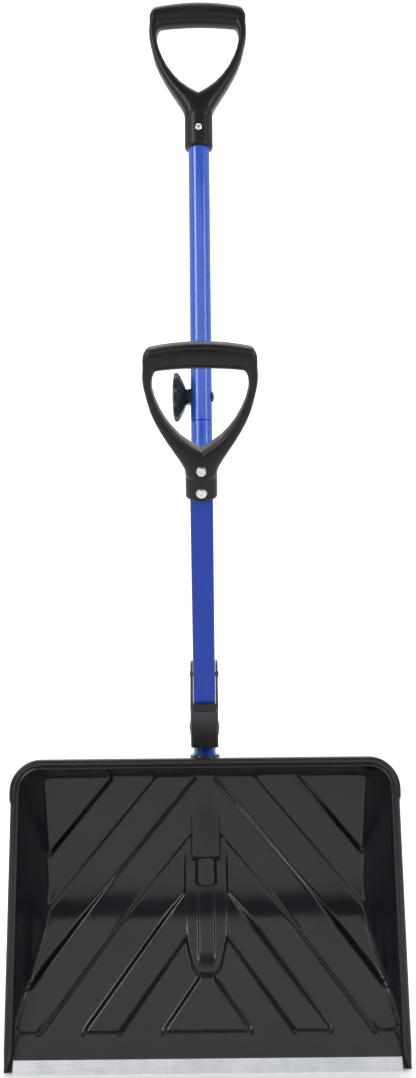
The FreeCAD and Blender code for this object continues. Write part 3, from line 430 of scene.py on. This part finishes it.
def blade_surface():
    """The front surface as arrays of x and z, its border on the rim with round top corners."""
    columns, rows = blade_grid()
    rim_gap = 0.4
    rim_top = MOUTH_TOP / (1 + TOP_TAN * RIM_LEAN) - rim_gap
    columns = np.concatenate([[-1e3], columns, [1e3]])
    rows = np.concatenate([rows, [rim_top]])
    x, z = np.meshgrid(columns, rows)
    half = MOUTH_HALF - SIDE_TAN * RIM_LEAN * z - rim_gap
    # draw the columns beside the wall out to the true rim width
    outermost = 222.0
    limit = 0.84 * outermost
    outside = np.abs(x) / outermost > 0.84
    x = np.where(np.abs(x) > 900, np.sign(x) * half, x)
    spread = (np.abs(x) - limit) / (outermost - limit) * (half - limit) + limit
    x = np.where(outside & (np.abs(x) < half - 0.01), np.sign(x) * np.minimum(spread, half - 0.8), x)
    # round corners
    radius = 31.0
    across = np.maximum(np.abs(x) - (half - radius), 0.0)
    up = np.maximum(z - (rim_top - radius), 0.0)
    length = np.hypot(across, up)
    pull = np.where(length > 1e-6, np.maximum(across, up) / np.maximum(length, 1e-6), 1.0)
    both = (across > 0) & (up > 0)
    pull = np.where(both, pull, 1.0)
    x = np.where(both, np.sign(x) * (half - radius + across * pull), x)
    z = np.where(both, rim_top - radius + up * pull, z)
    return x, z


def surface_normals(x, y, z):
    """Unit normals of a grid surface, pointing to the back."""
    along = np.stack([np.gradient(a, axis=1) for a in (x, y, z)], axis=-1)
    up = np.stack([np.gradient(a, axis=0) for a in (x, y, z)], axis=-1)
    normal = np.cross(up, along)
    normal /= np.linalg.norm(normal, axis=-1, keepdims=True) + 1e-12
    return np.where(normal[..., 1:2] < 0, -normal, normal)


def rim_path(x, z):
    """The border of the grid from the left foot over the top to the right foot, with outward normals."""
    path = [(x[row, 0], z[row, 0]) for row in range(x.shape[0])]
    path += [(x[-1, column], z[-1, column]) for column in range(1, x.shape[1])]
    path += [(x[row, -1], z[row, -1]) for row in range(x.shape[0] - 2, -1, -1)]
    path = np.array(path)
    ahead = np.roll(path, -1, axis=0) - np.roll(path, 1, axis=0)
    ahead[0] = path[1] - path[0]
    ahead[-1] = path[-1] - path[-2]
    ahead /= np.linalg.norm(ahead, axis=1, keepdims=True) + 1e-12
    outward = np.stack([-ahead[:, 1], ahead[:, 0]], axis=1)
    return path, outward


RIM_SECTION = ((-7.2, 14.6), (-7.0, 2.2), (-6.5, 0.9), (-5.4, 0.2), (-4.2, 0.5), (-3.2, 1.6), (-2.0, 1.8),
               (-0.9, 1.2), (0.2, 0.4), (1.6, 0.1), (3.0, 0.5), (4.2, 1.6), (4.6, 3.2), (4.6, 7.2),
               (3.8, 8.5), (2.6, 9.0), (-2.3, 9.0))
RIM_LUGS = (-26.0, -12.0, 6.0, 24.0)    # short ribs across the rim's valley beside the shaft


def build_blade():
    """The scoop as closed shells in one mesh: sheet, rim, socket, ribs and lugs."""
    soup = Soup()
    x, z = blade_surface()
    rim_y = z * RIM_LEAN
    y = np.maximum(front_depth(x, z), rim_y + 0.5)
    normal = surface_normals(x, y, z)
    front = np.stack([x, y, z], axis=-1)
    back = front + normal * WALL
    rows, columns = x.shape
    points = [tuple(p) for p in front.reshape(-1, 3)] + [tuple(p) for p in back.reshape(-1, 3)]
    faces = grid_faces(rows, columns)
    faces += grid_faces(rows, columns, rows * columns, flip=True)
    border = [row * columns for row in range(rows)]
    border += [(rows - 1) * columns + column for column in range(1, columns)]
    border += [row * columns + columns - 1 for row in range(rows - 2, -1, -1)]
    border += [column for column in range(columns - 2, 0, -1)]
    offset = rows * columns
    for index, here in enumerate(border):
        after = border[(index + 1) % len(border)]
        faces.append((here, after, after + offset, here + offset))
    soup.add(points, faces)

    # rim: a rolled flange over the top and the shoulders, a slimmer bead down the sides
    path, outward = rim_path(x, z)
    rings = []
    for (px, pz), (nx, nz) in zip(path, outward):
        deep = max(2.2, min(9.0, (floor_depth(np.array(pz)) - pz * RIM_LEAN) * 0.75 + 1.0))
        wide = 0.30 + 0.70 * float(smoothstep(292.0, 300.0, np.array(pz)))
        ring = []
        for out, depth in RIM_SECTION:
            out = out if out < 0.6 else 0.6 + (out - 0.6) * wide
            depth = depth * deep / 9.0
            if out < 0:
                out = out * deep / 9.0
            ring.append((px + nx * out, pz * RIM_LEAN + depth, pz + nz * out))
        rings.append(ring)
    soup.tube(rings)

    # socket tube with a rolled mouth
    around = np.linspace(0, 2 * math.pi, 64, endpoint=False)
    profile = [(11.0, SOCKET_FOOT - 2), (14.5, SOCKET_FOOT - 2), (16.2, SOCKET_FOOT),
               (16.8, SOCKET_FOOT + 2.5), (16.8, SOCKET_TOP - 8), (17.9, SOCKET_TOP - 6.5),
               (18.3, SOCKET_TOP - 4.5),
               (18.3, SOCKET_TOP - 2), (17.6, SOCKET_TOP - 0.5), (16.5, SOCKET_TOP),
               (14.2, SOCKET_TOP), (13.7, SOCKET_TOP - 0.6), (13.7, SOCKET_TOP - 12), (5.0, SOCKET_TOP - 14)]
    soup.tube([[(r * math.cos(a), SHAFT_AXIS + r * math.sin(a), h) for a in around] for r, h in profile])

    # ribs on the back: across the floor, beside the socket, and a web under it
    for height, reach in ((96.0, 120.0), (160.0, 150.0), (224.0, 150.0), (288.0, 150.0)):
        soup.tube(cross_rib(height, reach))
    for side in (-1, 1):
        soup.tube(upright_rib(side * 62.0, 76.0, 312.0, 3.0, 9.0))
    soup.tube(upright_rib(0.0, 80.0, 192.0, 8.0, 9.0))
    for x in RIM_LUGS:
        soup.tube([[(x + 1.4 * u, (335.4 + rise) * RIM_LEAN + 1.9 + 1.7 * v, 335.4 + rise)
                    for u, v in superellipse(16, 2.4)] for rise in (0.0, 0.5, 3.6, 4.1)])
    points = np.array(soup.points) * MM
    return mesh_object("blade_shell", points, soup.faces, BLADE_PLASTIC, 38.0)


def rib_height(share):
    """A rib's height along its length: full in the middle, falling to its rounded ends."""
    return math.sqrt(max(0.0, 1 - abs(share) ** 6))


def rib_ring(crest, half, place):
    """Section of a rib: drafted sides and a rounded crest, its foot inside the blade's wall."""
    section = ((-half, None), (-half * 0.86, crest - 0.9), (-half * 0.6, crest - 0.25), (0.0, crest),
               (half * 0.6, crest - 0.25), (half * 0.86, crest - 0.9), (half, None))
    ring = []
    for across, depth in section:
        x, z = place(across)
        if depth is None:
            depth = float(front_depth(np.array(x), np.array(z))) + 1.4
        ring.append((x, depth, z))
    return ring


def cross_rib(height, reach):
    """Rings of a rib that runs from side to side."""
    rings = []
    back = float(floor_depth(np.array(height))) + WALL
    for share in np.linspace(-1, 1, 101):
        crest = back + 0.4 + 8.6 * rib_height(share)
        rings.append(rib_ring(crest, 1.7, lambda across, x=share * reach: (x, height + 1.5 + across)))
    return rings


def upright_rib(x, low, high, width, rise):
    """Rings of a rib that runs up the floor's back."""
    rings = []
    for share in np.linspace(-1, 1, 101):
        z = (low + high) / 2 + share * (high - low) / 2
        back = float(floor_depth(np.array(z))) + WALL
        crest = back + 0.4 + (rise - 0.4) * rib_height(share)
        rings.append(rib_ring(crest, width / 2, lambda across, z=z: (x - across, z)))
    return rings


blade = build_blade()
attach(blade, "root")
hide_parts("blade")

# --------------------------------------------------------------------------- D grips

GRIP_HALF = 62.7
GRIP_TOP = 193.4
GRIP_SOCKET = 18.0
BAR_HALF_DEPTH = 12.4


# a leg from the bar down to the socket: outside edge, inside edge, half depth
LEG_STATIONS = (
    ((60.6, 176.0), (46.0, 166.0), 11.6),
    ((62.2, 163.0), (51.0, 155.5), 12.2),
    ((62.6, 153.0), (52.2, 148.5), 12.0),
    ((61.6, 143.0), (52.1, 142.0), 11.8),
    ((58.4, 128.5), (49.2, 130.5), 11.6),
    ((55.0, 115.5), (44.8, 119.5), 11.6),
    ((50.2, 103.5), (38.6, 107.5), 12.0),
    ((44.0, 91.4), (31.0, 97.0), 12.6),
    ((37.3, 80.0), (21.5, 86.5), 13.5),
    ((30.0, 68.6), (10.0, 78.0), 15.0),
    ((23.4, 58.2), (-4.0, 70.0), 16.5),
    ((18.8, 49.5), (-14.0, 58.0), 17.4),
    ((17.6, 42.0), (-16.0, 46.0), 17.6),
)


def leg_rings(side):
    """Rings down one leg, side -1 for the left and 1 for the right."""
    rings = []
    section = superellipse(40, 3.0)
    for (ox, oz), (ix, iz), half_depth in LEG_STATIONS:
        cx, cz = (ox + ix) / 2, (oz + iz) / 2
        hx, hz = (ox - ix) / 2, (oz - iz) / 2
        rings.append([(side * (cx + hx * u), half_depth * v, cz + hz * u) for u, v in section])
    return rings


def bar_rings():
    """The crowned hand bar, from end to end."""
    rings = []
    section = superellipse(48, 2.5)
    for share in np.linspace(-1, 1, 61):
        x = share * (GRIP_HALF - 1.2)
        end = max(0.0, abs(x) - 54.5)
        high = GRIP_TOP - 6.2 * (x / 57.0) ** 2 - 0.17 * end ** 2
        low = 163.6 - 2.4 * (x / 45.0) ** 2 + 0.05 * end ** 2
        squeeze = 1 - 0.012 * end ** 1.5
        middle, half = (low + high) / 2, (high - low) / 2
        rings.append([(x, BAR_HALF_DEPTH * squeeze * u, middle + half * v) for u, v in section])
    return rings


def socket_rings(foot):
    """Rings of the grip's socket, from its lower end up into the legs."""
    profile = [(foot + 0.1, GRIP_SOCKET - 1.6), (foot + 0.6, GRIP_SOCKET - 0.6), (foot + 2.0, GRIP_SOCKET),
               (46.0, GRIP_SOCKET), (56.0, 17.2), (66.0, 14.5), (70.0, 12.0)]
    rings = []
    for z, radius in profile:
        rings.append([(radius * u, radius * v, z) for u, v in superellipse(56, 2.0)])
    return rings


def build_grip(name, place, across, stretch, drop):
    """One moulded D grip in its own frame, voxel-joined and smoothed, then put in place."""
    soup = Soup()
    for side in (-1, 1):
        soup.tube(leg_rings(side), flip=side < 0)
    soup.tube(bar_rings(), flip=True)
    soup.tube(socket_rings(drop / stretch))
    points = np.array(soup.points) * (across, 1.0, stretch) - (0.0, 0.0, drop)
    grip = mesh_object(name, points * MM, soup.faces, GRIP_PLASTIC)
    join = grip.modifiers.new("join", "REMESH")
    join.mode = "VOXEL"
    join.voxel_size = 0.0013
    join.adaptivity = 0.0
    relax = grip.modifiers.new("relax", "SMOOTH")
    relax.factor = 0.5
    relax.iterations = 8
    apply_modifiers(grip)
    grip.data.transform(place)
    grip.data.shade_smooth()
    return grip


UPPER_GRIP_PLACE = Matrix.Translation((0, SHAFT_Y, GRIP_LOW.z))
upper_grip = build_grip("upper_grip_skin", UPPER_GRIP_PLACE, 1.0, 1.0, 0.0)
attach(upper_grip, "root")
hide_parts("upper_grip")

ARM_ANGLE = math.radians(25.0)
ASSIST_GRIP_FOOT = 0.2895
ARM_FRAME = Matrix.Translation(PIVOT) @ Matrix.Rotation(ARM_ANGLE, 4, "X")
assist_grip = build_grip("assist_grip_skin", ARM_FRAME @ Matrix.Translation((0, 0, ASSIST_GRIP_FOOT)),
                         0.97, 0.945, 13.0)
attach(assist_grip, "assist")
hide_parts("assist_grip")

# --------------------------------------------------------------------------- clamp knob

KNOB_LOBES = 7


def build_knob():
    """Lobed knob about local Z, hub at zero, turned so that its face looks to -X."""
    profile = ((0.01, 0.0), (7.0, 0.0), (9.4, 0.2), (10.0, 0.9), (10.6, 2.0), (13.0, 3.0), (17.0, 4.6),
               (24.0, 8.0), (28.4, 10.6), (30.4, 12.2), (31.0, 13.8), (31.0, 15.0), (30.2, 16.4),
               (28.0, 17.4), (24.0, 18.2), (16.0, 18.9), (8.0, 19.3), (7.4, 19.1), (6.8, 19.3), (0.01, 19.5))
    count = KNOB_LOBES * 24
    rings = []
    for radius, height in profile:
        ring = []
        for index in range(count):
            angle = 2 * math.pi * index / count
            lobe = 0.5 + 0.5 * math.cos(KNOB_LOBES * angle)
            scallop = (1 - lobe) ** 2.2
            grow = float(smoothstep(15.0, 31.0, np.array(radius)))
            reach = radius - 4.6 * scallop * grow
            ring.append((reach * math.cos(angle), reach * math.sin(angle), height))
        rings.append(ring)
    points, faces = tube_mesh(rings)
    knob = mesh_object("knob_skin", np.array(points) * MM, faces, GRIP_PLASTIC, 50.0)
    face_left = Matrix.Rotation(-math.pi / 2, 4, "Y")
    centre = Vector((KNOB_HIGH.x, (KNOB_LOW.y + KNOB_HIGH.y) / 2, CLAMP_HEIGHT))
    knob.data.transform(Matrix.Translation(centre) @ face_left)
    return knob


knob = build_knob()
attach(knob, "knob")
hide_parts("clamp_knob")

# --------------------------------------------------------------------------- studio


def studio_material():
    """Matt white paper, with painted shade that greys it well in front of the object, standing in for floor
    that the lamps do not reach.
    """
    material, nodes, links, shader = new_material("studio_pale", (0.90, 0.90, 0.90), 0.85)
    axes = nodes.new("ShaderNodeSeparateXYZ")
    links.new(object_position(nodes, links), axes.inputs["Vector"])
    # painted shade: the base colour falls from 0.90 near the object to 0.70 further in front, so the blade
    # reflects a darker floor there
    painted_shade_span = nodes.new("ShaderNodeMapRange")
    painted_shade_span.inputs["From Min"].default_value = -1.60
    painted_shade_span.inputs["From Max"].default_value = -0.50
    links.new(axes.outputs["Y"], painted_shade_span.inputs["Value"])
    links.new(ramp(nodes, links, painted_shade_span.outputs["Result"], grey(0.70), grey(0.90), 0.0, 1.0),
              shader.inputs["Base Color"])
    return material


PALE = studio_material()


def build_floor():
    """Floor that curves up into a backdrop behind the object."""
    depth, height, radius = 2.6, 4.2, 1.2
    section = [(-3.2, 0.0), (depth - radius, 0.0)]
    for step in range(1, 17):
        angle = math.pi / 2 * step / 16
        section.append((depth - radius + radius * math.sin(angle), radius - radius * math.cos(angle)))
    section.append((depth, height))
    points = [(x, y, z) for y, z in section for x in (-4.0, 4.0)]
    floor = mesh_object("studio_floor", points, grid_faces(len(section), 2, flip=True), PALE)


def area_light(name, place, target, size, power):
    """A white rectangular softbox aimed at a point."""
    lamp = bpy.data.lights.new(name, "AREA")
    lamp.shape = "RECTANGLE"
    lamp.size, lamp.size_y = size
    lamp.energy = power
    holder = bpy.data.objects.new(name, lamp)
    SCENE.collection.objects.link(holder)
    holder.location = place
    holder.rotation_euler = (Vector(target) - Vector(place)).to_track_quat("-Z", "Y").to_euler()


def build_camera():
    """Camera square in front of the shovel, near its middle height, rolled by a touch."""
    focal = 1000.0 / 1078.0          # in picture heights
    sensor = 24.0
    distance = 1.242
    lean = math.radians(3.9)
    roll = math.radians(0.6)
    aim = Vector((0.0065, SHAFT_Y, 0.6026))
    view = Vector((0.0, math.cos(lean), math.sin(lean)))
    place = aim - view * distance
    camera = bpy.data.cameras.new("camera")
    camera.sensor_fit = "VERTICAL"
    camera.sensor_height = sensor
    camera.lens = sensor * focal
    camera.clip_start = 0.05
    holder = bpy.data.objects.new("camera", camera)
    SCENE.collection.objects.link(holder)
    upright = view.to_track_quat("-Z", "Y").to_matrix().to_4x4()
    holder.matrix_world = Matrix.Translation(place) @ upright @ Matrix.Rotation(-roll, 4, "Z")
    SCENE.camera = holder


build_floor()
build_camera()
area_light("key", (-1.7, -1.5, 1.7), (0.0, 0.05, 0.45), (0.7, 1.6), 26.0)
area_light("fill", (1.9, -1.3, 1.3), (0.0, 0.05, 0.45), (0.6, 1.4), 13.0)
area_light("top", (0.0, 0.1, 2.6), (0.0, 0.05, 0.3), (1.6, 1.2), 16.0)
area_light("front", (0.0, -1.9, 1.45), (0.0, 0.0, 0.1), (3.0, 0.9), 10.0)
area_light("wash", (0.0, 0.9, 2.6), (0.0, 2.6, 1.0), (3.0, 0.8), 60.0)


def build_world():
    """Soft white surround with a grey, unlit side behind the camera."""
    world = bpy.data.worlds.new("studio")
    SCENE.world = world
    world.use_nodes = True
    nodes, links = world.node_tree.nodes, world.node_tree.links
    place = nodes.new("ShaderNodeTexCoord")
    facing = nodes.new("ShaderNodeVectorMath")
    facing.operation = "DOT_PRODUCT"
    facing.inputs[1].default_value = Vector((0.0, -1.0, 0.30)).normalized()
    links.new(place.outputs["Generated"], facing.inputs[0])
    shade = ramp(nodes, links, facing.outputs["Value"], grey(0.85), grey(0.16), 0.25, 0.80)
    links.new(shade, nodes["Background"].inputs["Color"])
    nodes["Background"].inputs["Strength"].default_value = 1.0


build_world()
SCENE.view_settings.view_transform = "Standard"
